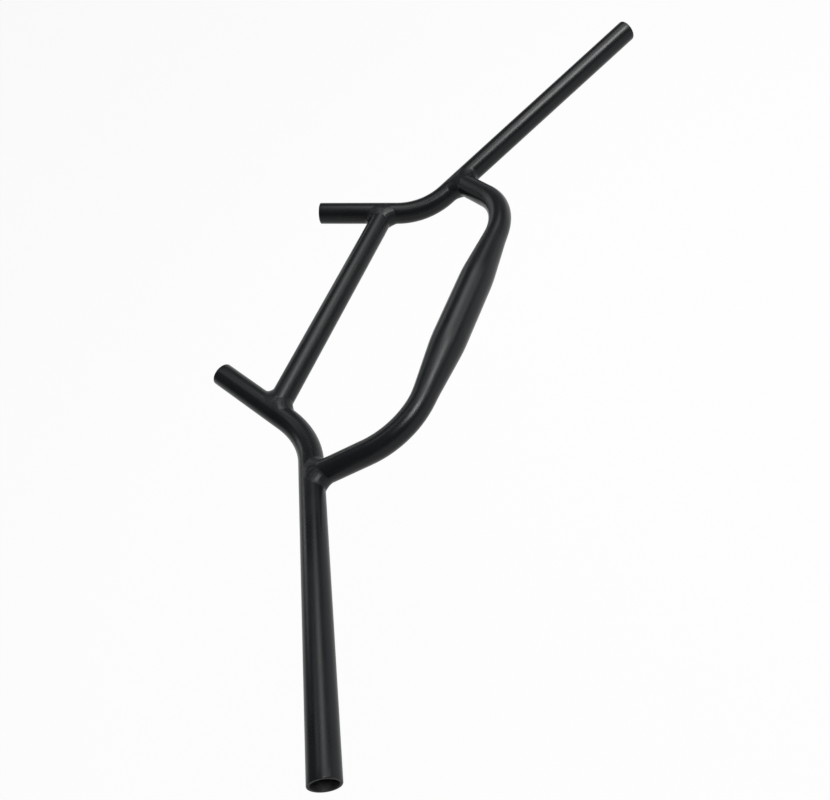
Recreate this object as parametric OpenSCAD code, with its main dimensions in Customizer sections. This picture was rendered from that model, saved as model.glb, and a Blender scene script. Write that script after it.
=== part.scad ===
// Bicycle handlebar: a drawn-down centre tube welded between two bent grip tubes,
// whose front ends are braced by a cross tube. All sizes are in millimetres.
// +X is the rider's right, +Y is forward, +Z is up. The origin is the middle of the clamp seat.

/* [Tube stock] */

// Outside diameter of the grip tubes, the cross tube and the drawn-down ends of the centre tube
tube_diameter = 22.2; // [20:0.1:24]
// Wall thickness of every tube
tube_wall = 2; // [1.2:0.1:3]
// Edge break on the open ends of the grip tubes
end_break = 0.4; // [0.2:0.1:0.8]

/* [Clamp seat] */

// Diameter of the clamp seat in the middle of the bar
clamp_diameter = 31.8; // [25.4:0.1:35]
// Width of the clamp seat between its two tapers
clamp_width = 80; // [50:1:120]

/* [Centre tube] */

// Distance from the middle of the bar to the end of each taper, where the bend starts
taper_end = 95; // [80:1:120]
// Bend radius on the axis of the centre tube
centre_bend_radius = 72; // [50:1:90]
// Angle each side of the centre tube is bent forward
centre_bend_angle = 56; // [45:1:65]
// Straight length from the bend to the axis of the grip tube
centre_run = 53.5; // [40:0.5:80]

/* [Grip tubes] */

// Angle the grips sweep back toward the rider
grip_sweep = 34.5; // [25:0.5:45]
// Angle the grips rise toward their open ends
grip_rise = 3; // [0:0.5:8]
// Length from the axis of the centre tube to the open end of the grip
grip_length = 244; // [180:1:300]
// Straight length from the axis of the centre tube to the horn bend
front_run = 19; // [18:0.5:30]

/* [Horns] */

// Bend radius on the axis of the grip tube where the horn starts
horn_bend_radius = 75; // [50:1:100]
// Angle of the bend between grip and horn
horn_bend_angle = 44.5; // [30:0.5:55]
// Angle the plane of that bend is turned up, so the horns rise to the front
horn_turn = 37.5; // [15:0.5:50]
// Straight length of the horn from the bend to its open tip
horn_length = 84; // [80:0.5:120]

/* [Cross tube] */

// Distance from the horn's open tip back to the axis of the cross tube
cross_setback = 70.5; // [35:0.5:71]

/* [Welds] */

// Width of the bead along each of the two tubes it joins
weld_leg = 6.5; // [4:0.1:7]
// Hollow of the bead's face in the corner between the tubes
weld_hollow = 1.5; // [0:0.1:2]
// Height of the bead over the top and bottom, where the tubes run level
weld_crown = 0.9; // [0.6:0.1:1.5]

/* [Hidden] */

$fn = 96;

// outside radii
tube_radius = tube_diameter / 2;
clamp_radius = clamp_diameter / 2;

// a coped tube stops this far short of the axis of the tube it sits on
cope_setback = 1.5;
// how far a cutting shape runs past the face it cuts
overrun = 1;
// degrees of a bend that are drawn from its far end
bend_lap = 2;
// clearance that keeps the flats of a bead off the round tubes
bead_clearance = 0.05;
// rounds the path of a bead over the top and bottom of a joint, as a share of the tube radius
path_rounding = 0.22;
// positions along a bead, steps across its face, and steps back along each tube
bead_steps = 48;
face_steps = 4;
back_steps = 4;

// rotation matrices
function turn_x(a) = [[1, 0, 0], [0, cos(a), -sin(a)], [0, sin(a), cos(a)]];
function turn_y(a) = [[cos(a), 0, sin(a)], [0, 1, 0], [-sin(a), 0, cos(a)]];
function turn_z(a) = [[cos(a), -sin(a), 0], [sin(a), cos(a), 0], [0, 0, 1]];
function unit(v) = v / norm(v);

// right joint of centre tube and grip tube, where their axes cross
centre_direction = [cos(centre_bend_angle), sin(centre_bend_angle), 0];
centre_joint = [taper_end, 0, 0]
    + centre_bend_radius * [sin(centre_bend_angle), 1 - cos(centre_bend_angle), 0]
    + centre_run * centre_direction;

// right grip tube: the grip, the bend and the horn one after the other
grip_frame = turn_z(-grip_sweep) * turn_y(-grip_rise) * turn_x(horn_turn);
horn_frame = grip_frame * turn_z(-horn_bend_angle);
grip_direction = grip_frame * [1, 0, 0];
horn_direction = horn_frame * [-1, 0, 0];
horn_start = centre_joint + grip_frame * [
    -front_run - horn_bend_radius * sin(horn_bend_angle),
    horn_bend_radius * (1 - cos(horn_bend_angle)),
    0
];

// right joint of cross tube and horn
cross_joint = horn_start + (horn_length - cross_setback) * horn_direction;

// frame of a joint: x runs back along the coped tube, and both axes lie in its xy plane
function joint_frame(place, coped, through) =
    let (
        across = unit(cross(coped, through)),
        side = cross(across, coped)
    )
    [
        [coped.x, side.x, across.x, place.x],
        [coped.y, side.y, across.y, place.y],
        [coped.z, side.z, across.z, place.z],
        [0, 0, 0, 1]
    ];

// Straight round bar along +X from start to end, which may taper.
module round_bar(start, end, radius, end_radius) {
    translate([start, 0, 0])
        rotate([0, 90, 0])
            cylinder(h = end - start, r1 = radius, r2 = end_radius);
}

// Straight round bar from the origin along +X, with the edge of its far end broken.
module open_bar(length, radius, edge) {
    round_bar(0, length - edge, radius, radius);
    if (edge > 0)
        round_bar(length - edge, length, radius, radius - edge);
}

// Arc of round bar that leaves the origin along +X and bends toward +Y.
module round_arc(bend_radius, angle, radius) {
    translate([0, bend_radius, 0])
        rotate([0, 0, -90])
            rotate_extrude(angle = angle)
                translate([bend_radius, 0])
                    circle(r = radius);
}

// Bend of round bar with its children at the far end. The last degrees are drawn back from
// there, over the first arc, so that both straights start flush on the bend.
module round_bend(bend_radius, angle, radius) {
    round_arc(bend_radius, angle - bend_lap, radius);
    translate([0, bend_radius, 0])
        rotate([0, 0, angle])
            translate([0, -bend_radius, 0]) {
                rotate([0, 180, 0])
                    round_arc(bend_radius, 2.5 * bend_lap, radius);
                children();
            }
}

// Draws its children and their mirror image.
module both_sides() {
    children();
    mirror([1, 0, 0])
        children();
}

// Right grip tube as a solid bar: grip, bend and horn.
module grip_bar(radius, extra, edge) {
    translate(centre_joint)
        rotate([horn_turn, -grip_rise, -grip_sweep])
            translate([-front_run, 0, 0]) {
                open_bar(front_run + grip_length + extra, radius, edge);
                rotate([0, 180, 0])
                    round_bend(horn_bend_radius, horn_bend_angle, radius)
                        open_bar(horn_length + extra, radius, edge);
            }
}

// Centre tube as a solid bar, inset from the outside by the given depth.
module centre_bar(inset, extra) {
    middle = clamp_radius - inset;
    end = tube_radius - inset;
    round_bar(-clamp_width / 2, clamp_width / 2, middle, middle);
    both_sides() {
        round_bar(clamp_width / 2, taper_end, middle, end);
        translate([taper_end, 0, 0])
            round_bend(centre_bend_radius, centre_bend_angle, end)
                round_bar(0, centre_run - cope_setback + extra, end, end);
    }
}

// Cross tube as a solid bar.
module cross_bar(radius, extra) {
    half = cross_joint.x - cope_setback + extra;
    translate([0, cross_joint.y, cross_joint.z])
        round_bar(-half, half, radius, radius);
}

// Right grip tube, bored from end to end.
module grip_tube() {
    difference() {
        grip_bar(tube_radius, 0, end_break);
        grip_bar(tube_radius - tube_wall, overrun, 0);
    }
}

// Point where the coped tube meets the through tube, which their axes cross at the given
// spread. Rounding lifts the path off the sharp turn over the top and bottom.
function path_point(turn, spread, rounding) =
    let (reach = sqrt(pow(cos(turn), 2) + pow(rounding, 2)))
    tube_radius * [
        (reach + cos(turn) * cos(spread)) / sin(spread),
        cos(turn),
        sin(turn)
    ];

// Nearest point on the skin of a tube whose axis passes through the origin.
function on_tube(point, axis) =
    let (foot = (point * axis) * axis)
    foot + (tube_radius + bead_clearance) * unit(point - foot);

// Closed outline of a bead at one turn of its path: across the face from the toe on the coped
// tube to the toe on the through tube, then back along both tubes.
function bead_section(turn, spread) =
    let (
        coped = [1, 0, 0],
        through = [cos(spread), sin(spread), 0],
        corner = path_point(turn, spread, 0),
        path = path_point(turn, spread, path_rounding),
        ahead = path_point(turn + 1, spread, path_rounding),
        behind = path_point(turn - 1, spread, path_rounding),
        along = unit(ahead - behind),
        coped_normal = unit([0, path.y, path.z]),
        through_normal = unit(path - (path * through) * through),
        first = on_tube(path + weld_leg * cross(coped_normal, along), coped),
        last = on_tube(path + weld_leg * cross(along, through_normal), through),
        level = max(0, coped_normal * through_normal),
        lift = level * (weld_crown + weld_hollow) - weld_hollow,
        outward = unit(coped_normal + through_normal)
    )
    concat(
        [
            for (step = [0:face_steps])
                let (s = step / face_steps)
                first + s * (last - first) + lift * 4 * s * (1 - s) * outward
        ],
        [
            for (step = [1:back_steps - 1])
                on_tube(last + step / back_steps * (corner - last), through)
        ],
        [corner + bead_clearance * outward],
        [
            for (step = [1:back_steps - 1])
                on_tube(corner + step / back_steps * (first - corner), coped)
        ]
    );

// Weld bead in the frame of its joint, where the coped tube runs along +X.
module bead(spread) {
    ring = face_steps + 2 * back_steps;
    points = [
        for (step = [0:bead_steps - 1])
            each bead_section(360 * step / bead_steps, spread)
    ];
    faces = [
        for (step = [0:bead_steps - 1])
            for (corner = [0:ring - 1])
                let (
                    here = step * ring,
                    next = (step + 1) % bead_steps * ring,
                    beside = (corner + 1) % ring
                )
                each [
                    [here + corner, here + beside, next + beside],
                    [here + corner, next + beside, next + corner]
                ]
    ];
    polyhedron(points, faces, convexity = 6);
}

// Right bead between centre tube and grip tube.
module centre_weld() {
    back = -centre_direction;
    multmatrix(joint_frame(centre_joint, back, grip_direction))
        bead(acos(back * grip_direction));
}

// Right bead between cross tube and horn.
module cross_weld() {
    back = [-1, 0, 0];
    multmatrix(joint_frame(cross_joint, back, horn_direction))
        bead(acos(back * horn_direction));
}

module centre_tube() {
    color([0.10, 0.10, 0.12])
        difference() {
            centre_bar(0, 0);
            centre_bar(tube_wall, overrun);
            both_sides()
                grip_bar(tube_radius, 0, 0);
        }
}

module left_grip_tube() {
    color([0.13, 0.13, 0.15])
        mirror([1, 0, 0])
            grip_tube();
}

module right_grip_tube() {
    color([0.13, 0.13, 0.15])
        grip_tube();
}

module cross_tube() {
    color([0.16, 0.16, 0.18])
        difference() {
            cross_bar(tube_radius, 0);
            cross_bar(tube_radius - tube_wall, overrun);
            both_sides()
                grip_bar(tube_radius, 0, 0);
        }
}

module left_centre_weld() {
    color([0.20, 0.20, 0.22])
        mirror([1, 0, 0])
            centre_weld();
}

module right_centre_weld() {
    color([0.20, 0.20, 0.22])
        centre_weld();
}

module left_cross_weld() {
    color([0.20, 0.20, 0.22])
        mirror([1, 0, 0])
            cross_weld();
}

module right_cross_weld() {
    color([0.20, 0.20, 0.22])
        cross_weld();
}

centre_tube();
left_grip_tube();
right_grip_tube();
cross_tube();
left_centre_weld();
right_centre_weld();
left_cross_weld();
right_cross_weld();
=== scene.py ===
import math

import bpy
from mathutils import Euler, Matrix, Vector, noise


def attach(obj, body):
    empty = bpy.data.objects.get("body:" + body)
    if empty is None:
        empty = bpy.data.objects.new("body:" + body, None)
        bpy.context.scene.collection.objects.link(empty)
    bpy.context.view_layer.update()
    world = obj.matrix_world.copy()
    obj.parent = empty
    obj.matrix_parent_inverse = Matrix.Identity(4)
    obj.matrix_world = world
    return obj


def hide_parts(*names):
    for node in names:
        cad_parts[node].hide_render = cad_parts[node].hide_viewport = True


# Welded bicycle handlebar in satin black paint, held free of the floor.
# Rider's right is +X, forward is +Y, up is +Z, and the origin is the middle of the clamp seat.

scene = bpy.context.scene
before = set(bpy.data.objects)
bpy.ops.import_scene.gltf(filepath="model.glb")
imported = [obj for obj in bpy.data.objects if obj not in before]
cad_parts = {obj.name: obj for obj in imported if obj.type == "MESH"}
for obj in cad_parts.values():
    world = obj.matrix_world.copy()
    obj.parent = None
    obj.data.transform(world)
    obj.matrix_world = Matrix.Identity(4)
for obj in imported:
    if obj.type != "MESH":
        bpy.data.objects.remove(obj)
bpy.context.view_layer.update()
print("frame loaded:", ", ".join(sorted(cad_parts)))

mm = 0.001

# what all the tubes share
stock = {
    "radius": 11.1 * mm,
    "wall": 2.0 * mm,
    "around": 128,           # vertices in a ring
    "straightStep": 6.0 * mm,  # rings along a straight
    "bendStep": 1.5,         # degrees between rings in a bend
    "sharpFrom": 40.0,       # degrees at which an edge is drawn sharp
}
forward = Vector((0, 1, 0))
rightward = Vector((1, 0, 0))
upward = Vector((0, 0, 1))

# how far the finishes follow their noise
grain = {
    "glossSpan": (0.3, 0.7),
    "tintSpan": (0.35, 0.70),
    "peelDepth": 0.1 * mm,
    "waveDepth": 0.6 * mm,
    "lineDepth": 0.05 * mm,
}


def linkNode(tree, kind, place, **values):
    made = tree.nodes.new(kind)
    made.location = place
    for name, value in values.items():
        made.inputs[name].default_value = value
    return made


# satin paint: gloss that wanders a little, orange peel, and the slow waviness of drawn tube
def paintMaterial(name, paint):
    material = bpy.data.materials.new(name)
    material.use_nodes = True
    tree = material.node_tree
    shader = tree.nodes["Principled BSDF"]
    shader.inputs["Specular IOR Level"].default_value = paint["specular"]
    shader.inputs["IOR"].default_value = paint["ior"]
    place = linkNode(tree, "ShaderNodeTexCoord", (-1300, 0))

    patches = linkNode(
        tree, "ShaderNodeTexNoise", (-1080, 260), Scale=paint["patchScale"], Detail=5.0)
    gloss = linkNode(tree, "ShaderNodeMapRange", (-460, 120))
    gloss.inputs["From Min"].default_value, gloss.inputs["From Max"].default_value = grain["glossSpan"]
    gloss.inputs["To Min"].default_value, gloss.inputs["To Max"].default_value = paint["roughness"]
    tree.links.new(place.outputs["Object"], patches.inputs["Vector"])
    tree.links.new(patches.outputs["Fac"], gloss.inputs["Value"])
    tree.links.new(gloss.outputs["Result"], shader.inputs["Roughness"])

    tint = linkNode(tree, "ShaderNodeValToRGB", (-680, 420))
    colours = (paint["shade"], paint["colour"])
    for stop, at, colour in zip(tint.color_ramp.elements, grain["tintSpan"], colours):
        stop.position, stop.color = at, colour
    tree.links.new(patches.outputs["Fac"], tint.inputs["Fac"])
    tree.links.new(tint.outputs["Color"], shader.inputs["Base Color"])

    peel = linkNode(
        tree, "ShaderNodeTexNoise", (-1080, -140), Scale=paint["peelScale"], Detail=2.0)
    wave = linkNode(
        tree, "ShaderNodeTexNoise", (-1080, -400), Scale=paint["waveScale"], Detail=3.0)
    fine = linkNode(
        tree, "ShaderNodeBump", (-240, -140), Strength=paint["peel"], Distance=grain["peelDepth"])
    broad = linkNode(
        tree, "ShaderNodeBump", (-680, -400), Strength=paint["wave"], Distance=grain["waveDepth"])
    tree.links.new(place.outputs["Object"], peel.inputs["Vector"])
    tree.links.new(place.outputs["Object"], wave.inputs["Vector"])
    tree.links.new(wave.outputs["Fac"], broad.inputs["Height"])
    under = broad
    if "drawLines" in paint:     # long faint lines left by the drawing die
        drawn = paint["drawLines"]
        wrap = linkNode(tree, "ShaderNodeUVMap", (-1300, -640))
        wrap.uv_map = "tubeWrap"
        stretch = linkNode(tree, "ShaderNodeMapping", (-1080, -640), Scale=drawn["scale"])
        lines = linkNode(tree, "ShaderNodeTexNoise", (-880, -640), Scale=1.0, Detail=2.0)
        under = linkNode(
            tree, "ShaderNodeBump", (-460, -400),
            Strength=drawn["strength"], Distance=grain["lineDepth"])
        tree.links.new(wrap.outputs["UV"], stretch.inputs["Vector"])
        tree.links.new(stretch.outputs["Vector"], lines.inputs["Vector"])
        tree.links.new(lines.outputs["Fac"], under.inputs["Height"])
        tree.links.new(broad.outputs["Normal"], under.inputs["Normal"])
    tree.links.new(under.outputs["Normal"], fine.inputs["Normal"])
    tree.links.new(peel.outputs["Fac"], fine.inputs["Height"])
    tree.links.new(fine.outputs["Normal"], shader.inputs["Normal"])
    return material


tubePaint = paintMaterial("tubePaint", {
    "colour": (0.0070, 0.0081, 0.0092, 1.0),
    "shade": (0.0054, 0.0064, 0.0073, 1.0),
    "specular": 0.90,
    "ior": 1.22,
    "roughness": (0.26, 0.33),
    "patchScale": 40.0,
    "peelScale": 700.0,
    "peel": 0.015,
    "waveScale": 55.0,
    "wave": 0.06,
    "drawLines": {"scale": (14.0, 420.0, 1.0), "strength": 0.09},
})

weldPaint = paintMaterial("weldPaint", {
    "colour": (0.0072, 0.0083, 0.0094, 1.0),
    "shade": (0.0056, 0.0066, 0.0075, 1.0),
    "specular": 0.90,
    "ior": 1.22,
    "roughness": (0.34, 0.44),
    "patchScale": 90.0,
    "peelScale": 700.0,
    "peel": 0.04,
    "waveScale": 180.0,
    "wave": 0.20,
})

# inside of the tubes: thin dark overspray, rougher than the outside
borePaint = paintMaterial("borePaint", {
    "colour": (0.0220, 0.0220, 0.0230, 1.0),
    "shade": (0.0090, 0.0092, 0.0100, 1.0),
    "specular": 0.50,
    "ior": 1.40,
    "roughness": (0.50, 0.70),
    "patchScale": 220.0,
    "peelScale": 1400.0,
    "peel": 0.50,
    "waveScale": 120.0,
    "wave": 0.10,
})

# sawn faces of the open ends, thinly painted
rimPaint = paintMaterial("rimPaint", {
    "colour": (0.0080, 0.0090, 0.0098, 1.0),
    "shade": (0.0050, 0.0058, 0.0064, 1.0),
    "specular": 0.50,
    "ior": 1.25,
    "roughness": (0.50, 0.62),
    "patchScale": 300.0,
    "peelScale": 1500.0,
    "peel": 0.30,
    "waveScale": 200.0,
    "wave": 0.10,
})
print("paint mixed")


def turned(degrees, axis):
    return Matrix.Rotation(math.radians(degrees), 3, axis)


# stops at even steps along a straight, each with its direction, without the one at its start
def straightRun(start, along, length):
    count = max(1, math.ceil(length / stock["straightStep"]))
    return [(start + along * length * i / count, along) for i in range(1, count + 1)]


# the same round a bend toward one side
def bendRun(start, along, toward, bendRadius, degrees):
    count = math.ceil(degrees / stock["bendStep"])
    stops = []
    for i in range(1, count + 1):
        angle = math.radians(degrees) * i / count
        spot = start + bendRadius * (math.sin(angle) * along + (1 - math.cos(angle)) * toward)
        stops.append((spot, math.cos(angle) * along + math.sin(angle) * toward))
    return stops


def ringAt(spot, along, upright, radius):
    across = along.cross(upright)
    ring = []
    for i in range(stock["around"]):
        angle = 2 * math.pi * i / stock["around"]
        ring.append(spot + radius * (math.cos(angle) * across + math.sin(angle) * upright))
    return ring


# ring of a tube's end that is coped to sit on another tube; along points at the joint
def copedRing(joint, along, upright, radius, through, setback):
    back = -along
    spread = back.angle(through)
    across = back.cross(through).normalized()
    side = across.cross(back)
    ring = []
    for point in ringAt(joint, along, upright, radius):
        outward = point - joint
        high = outward.dot(across)
        reach = math.sqrt(max(0.0, stock["radius"] ** 2 - high ** 2))
        depth = (reach + outward.dot(side) * math.cos(spread)) / math.sin(spread)
        ring.append(point + back * max(depth, setback))
    return ring


# rings between two others, evenly spread
def blendRings(first, last, count):
    return [[a.lerp(b, i / count) for a, b in zip(first, last)] for i in range(1, count)]


def mirrored(points):
    return [Vector((-p.x, p.y, p.z)) for p in points]


def newPiece(name, points, faces, materials, replaced):
    mesh = bpy.data.meshes.new(name)
    mesh.from_pydata([tuple(p) for p in points], [], faces)
    for material in materials:
        mesh.materials.append(material)
    mesh.validate()
    mesh.shade_smooth()
    mesh.set_sharp_from_angle(angle=math.radians(stock["sharpFrom"]))
    piece = bpy.data.objects.new(name, mesh)
    scene.collection.objects.link(piece)
    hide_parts(replaced)
    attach(piece, "root")
    return piece


# closed skin over rings that run out along the outside of a tube and back along its bore
def tubePiece(name, outside, bore, replaced, mirror=False):
    rings = outside + bore[::-1]
    around = stock["around"]
    middles = [sum(ring, Vector()) / around for ring in rings]
    travel = [0.0]
    for r in range(len(rings)):
        travel.append(travel[-1] + (middles[(r + 1) % len(rings)] - middles[r]).length)
    girth = 2 * math.pi * stock["radius"]
    points = [p for ring in rings for p in ring]
    if mirror:
        points = mirrored(points)
    faces, finish, wrap = [], [], []
    for r in range(len(rings)):
        here, ahead = r * around, (r + 1) % len(rings) * around
        if r in (len(outside) - 1, len(rings) - 1):
            slot = 2                  # rim
        else:
            slot = 1 if r >= len(outside) else 0    # bore or outside
        for i in range(around):
            j = (i + 1) % around
            quad = [here + i, ahead + i, ahead + j, here + j]
            near, far = girth * i / around, girth * (i + 1) / around
            spread = [(travel[r], near), (travel[r + 1], near), (travel[r + 1], far), (travel[r], far)]
            faces.append(quad[::-1] if mirror else quad)
            wrap += spread[::-1] if mirror else spread
            finish.append(slot)
    piece = newPiece(name, points, faces, [tubePaint, borePaint, rimPaint], replaced)
    piece.data.polygons.foreach_set("material_index", finish)
    layer = piece.data.uv_layers.new(name="tubeWrap")   # metres along and around the tube
    layer.uv.foreach_set("vector", [v for pair in wrap for v in pair])


# bar from the clamp seat to the grip tubes
centreTube = {
    "clampRadius": 15.9 * mm,
    "clampHalf": 40.0 * mm,
    "taperEnd": 95.0 * mm,
    "taperBlend": 9.0 * mm,   # soft start and end of the taper
    "taperFiner": 3,          # times as many rings over the taper
    "bendRadius": 72.0 * mm,
    "bendAngle": 56.0,
    "run": 53.5 * mm,
    "copeSetback": 1.5 * mm,
    "copeRings": 14,
    "copeRoom": 15.0 * mm,    # straight that the coped end takes up
}

runDirection = turned(centreTube["bendAngle"], "Z") @ rightward
bendStart = rightward * centreTube["taperEnd"]
bendTurn = math.radians(centreTube["bendAngle"])
runStart = bendStart + centreTube["bendRadius"] * (
    math.sin(bendTurn) * rightward + (1 - math.cos(bendTurn)) * forward)
centreJoint = runStart + centreTube["run"] * runDirection

# grip, front bend and horn are one tube
gripTube = {
    "sweep": 34.5,
    "rise": 3.0,
    "length": 244.0 * mm,
    "frontRun": 19.0 * mm,
    "bendRadius": 75.0 * mm,
    "bendAngle": 44.5,
    "hornTurn": 37.5,
    "hornLength": 84.0 * mm,
    "edge": 0.6 * mm,         # round on the outside of the open ends
    "innerEdge": 0.2 * mm,
    "edgeSteps": 4,
}

gripFrame = (turned(-gripTube["sweep"], "Z")
             @ turned(-gripTube["rise"], "Y")
             @ turned(gripTube["hornTurn"], "X"))
gripDirection = gripFrame @ rightward
hornDirection = gripFrame @ turned(-gripTube["bendAngle"], "Z") @ -rightward
gripSide = gripFrame @ forward
gripUpright = gripFrame @ upward
frontStart = centreJoint - gripDirection * gripTube["frontRun"]
frontTurn = math.radians(gripTube["bendAngle"])
hornStart = frontStart + gripTube["bendRadius"] * (
    math.sin(frontTurn) * -gripDirection + (1 - math.cos(frontTurn)) * gripSide)
hornTip = hornStart + hornDirection * gripTube["hornLength"]

crossTube = {
    "setback": 70.5 * mm,     # from the horn's tip back to the axis
    "copeRoom": 20.0 * mm,
    "copeRings": 16,
}

crossJoint = hornTip - hornDirection * crossTube["setback"]
for label, joint in (("centre joint", centreJoint), ("cross joint", crossJoint)):
    print(label, "at", [round(v / mm, 1) for v in joint])


# radius of the centre tube at a distance from the middle, with both ends of the taper eased
def centreRadius(x):
    start, end = centreTube["clampHalf"], centreTube["taperEnd"]
    ease = centreTube["taperBlend"]
    slope = (stock["radius"] - centreTube["clampRadius"]) / (end - start)

    def corner(past):
        if past <= -ease:
            return 0.0
        if past >= ease:
            return past
        return (past + ease) ** 2 / (4 * ease)

    return centreTube["clampRadius"] + slope * (corner(x - start) - corner(x - end))


def centreHalf(inset):
    rings = []
    count = centreTube["taperFiner"] * math.ceil(centreTube["taperEnd"] / stock["straightStep"])
    for i in range(count + 1):
        x = centreTube["taperEnd"] * i / count
        rings.append(ringAt(rightward * x, rightward, upward, centreRadius(x) - inset))
    bend = bendRun(
        bendStart, rightward, forward, centreTube["bendRadius"], centreTube["bendAngle"])
    for spot, along in bend:
        distance = centreTube["taperEnd"] + centreTube["bendRadius"] * rightward.angle(along)
        rings.append(ringAt(spot, along, upward, centreRadius(distance) - inset))
    plain = centreTube["run"] - centreTube["copeRoom"]
    for spot, along in straightRun(runStart, runDirection, plain):
        rings.append(ringAt(spot, along, upward, stock["radius"] - inset))
    saddle = copedRing(
        centreJoint, runDirection, upward, stock["radius"] - inset, gripDirection,
        centreTube["copeSetback"])
    rings += blendRings(rings[-1], saddle, centreTube["copeRings"])
    rings.append(saddle)
    return rings


# the left half mirrors the right one, ring by ring
def bothHalves(half):
    return [mirrored(ring) for ring in half[:0:-1]] + half


tubePiece(
    "centreTubeSkin", bothHalves(centreHalf(0.0)), bothHalves(centreHalf(stock["wall"])),
    "centre_tube")
print("centre tube drawn")


def crossHalf(inset):
    middle = Vector((0, crossJoint.y, crossJoint.z))
    radius = stock["radius"] - inset
    rings = [ringAt(middle, rightward, upward, radius)]
    for spot, along in straightRun(middle, rightward, crossJoint.x - crossTube["copeRoom"]):
        rings.append(ringAt(spot, along, upward, radius))
    saddle = copedRing(
        crossJoint, rightward, upward, radius, hornDirection, centreTube["copeSetback"])
    rings += blendRings(rings[-1], saddle, crossTube["copeRings"])
    rings.append(saddle)
    return rings


tubePiece(
    "crossTubeSkin", bothHalves(crossHalf(0.0)), bothHalves(crossHalf(stock["wall"])),
    "cross_tube")
print("cross tube drawn")


# quarter round at an open end: the outside narrows to the tip, the bore widens
def roundedEnd(tip, outward, radius, edge, widens):
    stops = []
    for i in range(gripTube["edgeSteps"] + 1):
        angle = math.pi / 2 * i / gripTube["edgeSteps"]
        change = edge * (1 - math.cos(angle))
        spot = tip - outward * edge * (1 - math.sin(angle))
        stops.append((spot, radius + change if widens else radius - change))
    return stops


def gripRings(inset):
    radius = stock["radius"] - inset
    inside = inset > 0
    edge = gripTube["innerEdge"] if inside else gripTube["edge"]
    gripEnd = centreJoint + gripDirection * gripTube["length"]
    rings = []
    for spot, ringRadius in roundedEnd(gripEnd, gripDirection, radius, edge, inside)[::-1]:
        rings.append(ringAt(spot, -gripDirection, gripUpright, ringRadius))
    gripRun = gripTube["length"] + gripTube["frontRun"] - edge
    stops = straightRun(frontStart + gripDirection * gripRun, -gripDirection, gripRun)
    stops += bendRun(
        frontStart, -gripDirection, gripSide, gripTube["bendRadius"], gripTube["bendAngle"])
    stops += straightRun(hornStart, hornDirection, gripTube["hornLength"] - edge)[:-1]
    for spot, along in stops:
        rings.append(ringAt(spot, along, gripUpright, radius))
    for spot, ringRadius in roundedEnd(hornTip, hornDirection, radius, edge, inside):
        rings.append(ringAt(spot, hornDirection, gripUpright, ringRadius))
    return rings


gripOutside, gripBore = gripRings(0.0), gripRings(stock["wall"])
tubePiece("rightGripSkin", gripOutside, gripBore, "right_grip_tube")
tubePiece("leftGripSkin", gripOutside, gripBore, "left_grip_tube", mirror=True)
print("grip tubes drawn")

# fillet welds, smooth under the paint, with a lump here and there
weldBead = {
    "leg": 6.5 * mm,
    "hollow": 1.5 * mm,
    "crown": 0.9 * mm,
    "rounding": 0.22,         # eases the path's corner where the two tubes are level
    "pathStep": 1.0,          # degrees either way for the path's direction
    "positions": 360,
    "faceSteps": 20,
    "backSteps": 3,
    "sink": 0.03 * mm,        # toes run out just under the skin of the tubes
    "legWander": 0.07,        # share of the leg
    "wanderScale": 2.1,
    "lump": 0.13 * mm,
    "lumpScale": 3.2,
    "lumpDrift": 1.4,         # how much the lumps change across the face
    "ripple": 0.035 * mm,
    "ripplePitch": 2.6 * mm,
}


# crossing of the two skins, seen from the coped tube's end
def beadPath(turn, spread, rounding):
    reach = math.sqrt(math.cos(turn) ** 2 + rounding ** 2)
    return stock["radius"] * Vector((
        (reach + math.cos(turn) * math.cos(spread)) / math.sin(spread),
        math.cos(turn),
        math.sin(turn)))


# nearest point just under the skin of a tube that runs along axis
def onSkin(point, axis):
    foot = axis * point.dot(axis)
    return foot + (stock["radius"] - weldBead["sink"]) * (point - foot).normalized()


# outline of the bead at one turn: its face from toe to toe, then back along both tubes
def beadSection(turn, spread, travelled, seed, swell):
    coped = Vector((1, 0, 0))
    through = Vector((math.cos(spread), math.sin(spread), 0))
    corner = beadPath(turn, spread, 0.0)
    path = beadPath(turn, spread, weldBead["rounding"])
    step = math.radians(weldBead["pathStep"])
    along = (beadPath(turn + step, spread, weldBead["rounding"])
             - beadPath(turn - step, spread, weldBead["rounding"])).normalized()
    copedNormal = Vector((0, path.y, path.z)).normalized()
    throughNormal = (path - through * path.dot(through)).normalized()
    lap = Vector((math.cos(turn), math.sin(turn), seed))

    def legAt(side):
        wander = noise.noise(lap * weldBead["wanderScale"] + Vector((0, 0, side)))
        return weldBead["leg"] * (swell + weldBead["legWander"] * wander)

    first = onSkin(path + legAt(3.0) * copedNormal.cross(along), coped)
    last = onSkin(path + legAt(7.0) * along.cross(throughNormal), through)
    level = max(0.0, copedNormal.dot(throughNormal))
    outward = (copedNormal + throughNormal).normalized()
    hollow = weldBead["hollow"] * swell
    lift = level * (weldBead["crown"] + hollow) - hollow
    section = []
    for i in range(weldBead["faceSteps"] + 1):
        s = i / weldBead["faceSteps"]
        off = abs(2 * s - 1)
        bow = 1 - off ** (3 - level)          # meets the tubes without a step where it is hollow
        lump = noise.noise(lap * weldBead["lumpScale"] + upward * weldBead["lumpDrift"] * s)
        phase = travelled / weldBead["ripplePitch"] + 0.5 * off * off
        crescent = math.sin(2 * math.pi * phase)
        rough = (weldBead["lump"] * lump + weldBead["ripple"] * crescent) * (1 - off * off)
        section.append(first.lerp(last, s) + (lift * bow + rough) * outward)
    root = corner - outward * weldBead["sink"]
    for i in range(1, weldBead["backSteps"]):
        section.append(onSkin(last.lerp(root, i / weldBead["backSteps"]), through))
    section.append(root)
    for i in range(1, weldBead["backSteps"]):
        section.append(onSkin(root.lerp(first, i / weldBead["backSteps"]), coped))
    return section


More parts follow.
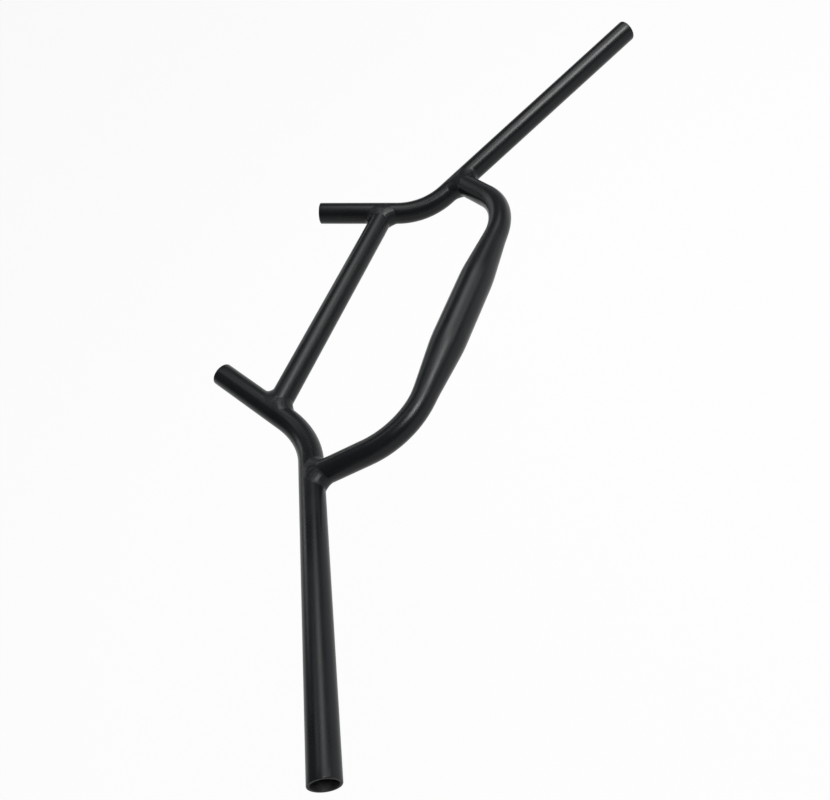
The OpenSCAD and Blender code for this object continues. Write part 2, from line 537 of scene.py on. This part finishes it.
def beadPiece(name, joint, back, through, replaced, seed, swell, mirror):
    spread = back.angle(through)
    across = back.cross(through).normalized()
    side = across.cross(back)
    place = Matrix((back, side, across)).transposed()
    count = weldBead["positions"]
    turns = [2 * math.pi * i / count for i in range(count)]
    stops = [beadPath(turn, spread, weldBead["rounding"]) for turn in turns]
    gaps = [(stops[(i + 1) % count] - stops[i]).length for i in range(count)]
    whole = sum(gaps)
    wholeRipples = round(whole / weldBead["ripplePitch"]) * weldBead["ripplePitch"]
    points = []
    travelled = 0.0
    for turn, gap in zip(turns, gaps):
        section = beadSection(turn, spread, travelled * wholeRipples / whole, seed, swell)
        points += [joint + place @ p for p in section]
        travelled += gap
    if mirror:
        points = mirrored(points)
    size = len(points) // count
    faces = []
    for i in range(count):
        here, ahead = i * size, (i + 1) % count * size
        for k in range(size):
            beside = (k + 1) % size
            quad = (here + k, here + beside, ahead + beside, ahead + k)
            faces.append(quad[::-1] if mirror else quad)
    newPiece(name, points, faces, [weldPaint], replaced)


# the right centre bead is laid wider than the others
centreWay = (centreJoint, -runDirection, gripDirection)
crossWay = (crossJoint, -rightward, hornDirection)
beadPiece("rightCentreWeld", *centreWay, "right_centre_weld", seed=1.7, swell=1.28, mirror=False)
beadPiece("leftCentreWeld", *centreWay, "left_centre_weld", seed=5.2, swell=1.0, mirror=True)
beadPiece("rightCrossWeld", *crossWay, "right_cross_weld", seed=9.4, swell=1.0, mirror=False)
beadPiece("leftCrossWeld", *crossWay, "left_cross_weld", seed=13.6, swell=1.0, mirror=True)
print("welds laid")

# the painted nodes under the skins keep a matching finish
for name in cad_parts:
    node = bpy.data.objects.get(name)
    if node and node.type == "MESH":
        node.data.materials.clear()
        node.data.materials.append(weldPaint if "weld" in name else tubePaint)

# plain pale floor, far enough below for a faint shadow
floorPlan = {
    "height": -0.55,
    "half": 30.0,
    "colour": (0.80, 0.80, 0.80, 1.0),
    "whiteness": 0.94,        # share that shows plain white
}


def floorMaterial():
    material = bpy.data.materials.new("paleFloor")
    material.use_nodes = True
    tree = material.node_tree
    tree.nodes.clear()
    ray = linkNode(tree, "ShaderNodeLightPath", (-900, 0))
    seen = linkNode(tree, "ShaderNodeMath", (-700, 0))
    seen.operation = "MAXIMUM"
    orThrough = linkNode(tree, "ShaderNodeMath", (-520, 0))
    orThrough.operation = "MAXIMUM"
    share = linkNode(tree, "ShaderNodeMath", (-340, 0))
    share.operation = "MULTIPLY"
    share.inputs[1].default_value = floorPlan["whiteness"]
    matt = linkNode(
        tree, "ShaderNodeBsdfDiffuse", (-340, -180), Color=floorPlan["colour"])
    white = linkNode(tree, "ShaderNodeEmission", (-340, -340), Strength=1.0)
    mix = linkNode(tree, "ShaderNodeMixShader", (-140, 0))
    out = linkNode(tree, "ShaderNodeOutputMaterial", (60, 0))
    tree.links.new(ray.outputs["Is Camera Ray"], seen.inputs[0])
    tree.links.new(ray.outputs["Is Glossy Ray"], seen.inputs[1])
    tree.links.new(seen.outputs[0], orThrough.inputs[0])
    tree.links.new(ray.outputs["Is Transmission Ray"], orThrough.inputs[1])
    tree.links.new(orThrough.outputs[0], share.inputs[0])
    tree.links.new(share.outputs[0], mix.inputs[0])
    tree.links.new(matt.outputs[0], mix.inputs[1])
    tree.links.new(white.outputs[0], mix.inputs[2])
    tree.links.new(mix.outputs[0], out.inputs["Surface"])
    return material


half = floorPlan["half"]
corners = [(-half, -half, 0), (half, -half, 0), (half, half, 0), (-half, half, 0)]
floorMesh = bpy.data.meshes.new("floor")
floorMesh.from_pydata(corners, [], [(0, 1, 2, 3)])
floorMesh.materials.append(floorMaterial())
floor = bpy.data.objects.new("floor", floorMesh)
floor.location.z = floorPlan["height"]
scene.collection.objects.link(floor)

# soft boxes that face the bar: bearing in degrees from +X toward +Y, height in degrees above it
softBoxes = {
    "bigBox": {
        "bearing": -32, "height": 55, "distance": 1.6,
        "size": (1.45, 1.10), "bright": 2.1},
    "coreBox": {
        "bearing": -24, "height": 57, "distance": 1.0,
        "size": (0.36, 0.30), "bright": 3.2},
    "stripBox": {
        "bearing": -74, "height": 56, "distance": 8.0,
        "size": (2.90, 2.70), "bright": 17.0},
    "lowBox": {
        "bearing": -56, "height": 29, "distance": 1.6,
        "size": (0.60, 0.40), "bright": 2.6},
    "crownBox": {
        "bearing": 62, "height": 72, "distance": 1.6,
        "size": (0.60, 0.45), "bright": 1.8},
    "sideBox": {
        "bearing": 55, "height": 24, "distance": 1.6,
        "size": (0.70, 0.55), "bright": 1.2},
    "frontBox": {
        "bearing": 95, "height": 30, "distance": 1.0,
        "size": (0.36, 0.30), "bright": 2.6},
}

aim = Vector((0.0, 0.05, 0.01))   # middle of the bar
for name, box in softBoxes.items():
    lamp = bpy.data.lights.new(name, "AREA")
    lamp.shape = "RECTANGLE"
    lamp.size, lamp.size_y = box["size"]
    lamp.energy = box["bright"] * math.pi * box["size"][0] * box["size"][1]
    lampObject = bpy.data.objects.new(name, lamp)
    bearing, height = math.radians(box["bearing"]), math.radians(box["height"])
    level = Vector((math.cos(bearing), math.sin(bearing), 0))
    toward = level * math.cos(height) + upward * math.sin(height)
    lampObject.location = aim + toward * box["distance"]
    lampObject.rotation_euler = toward.to_track_quat("Z", "Y").to_euler()
    lampObject.visible_camera = False
    scene.collection.objects.link(lampObject)

# pale backdrop round the horizon that fades to grey overhead
air = {
    "colour": (0.97, 0.985, 1.0, 1.0),
    "atHorizon": 0.88,
    "overhead": 0.10,
    "fadeUntil": 0.36,        # sine of the height where the fade ends
}


def studioAir():
    world = bpy.data.worlds.new("studioAir")
    world.use_nodes = True
    tree = world.node_tree
    tree.nodes.clear()
    heading = linkNode(tree, "ShaderNodeTexCoord", (-700, 0))
    rise = linkNode(tree, "ShaderNodeSeparateXYZ", (-520, 0))
    fade = linkNode(tree, "ShaderNodeMapRange", (-340, 0))
    fade.interpolation_type = "SMOOTHSTEP"
    fade.inputs["From Max"].default_value = air["fadeUntil"]
    fade.inputs["To Min"].default_value = air["atHorizon"]
    fade.inputs["To Max"].default_value = air["overhead"]
    glow = linkNode(tree, "ShaderNodeBackground", (-140, 0), Color=air["colour"])
    out = linkNode(tree, "ShaderNodeOutputWorld", (60, 0))
    tree.links.new(heading.outputs["Generated"], rise.inputs[0])
    tree.links.new(rise.outputs["Z"], fade.inputs["Value"])
    tree.links.new(fade.outputs["Result"], glow.inputs["Strength"])
    tree.links.new(glow.outputs[0], out.inputs["Surface"])
    return world


scene.world = studioAir()
print("studio lit")

# view over the left grip, from behind and above
shot = {
    "place": (-0.37328, -0.33920, 0.40691),
    "turn": (40.636, 26.719, -65.886),    # degrees
    "lens": 31.026,
    "sensor": 36.0,
    "nearest": 0.01,
}

lens = bpy.data.cameras.new("shotCamera")
lens.lens = shot["lens"]
lens.sensor_width = shot["sensor"]
lens.clip_start = shot["nearest"]
shotCamera = bpy.data.objects.new("shotCamera", lens)
shotCamera.location = shot["place"]
shotCamera.rotation_euler = Euler([math.radians(a) for a in shot["turn"]])
scene.collection.objects.link(shotCamera)
scene.camera = shotCamera
scene.view_settings.view_transform = "Standard"
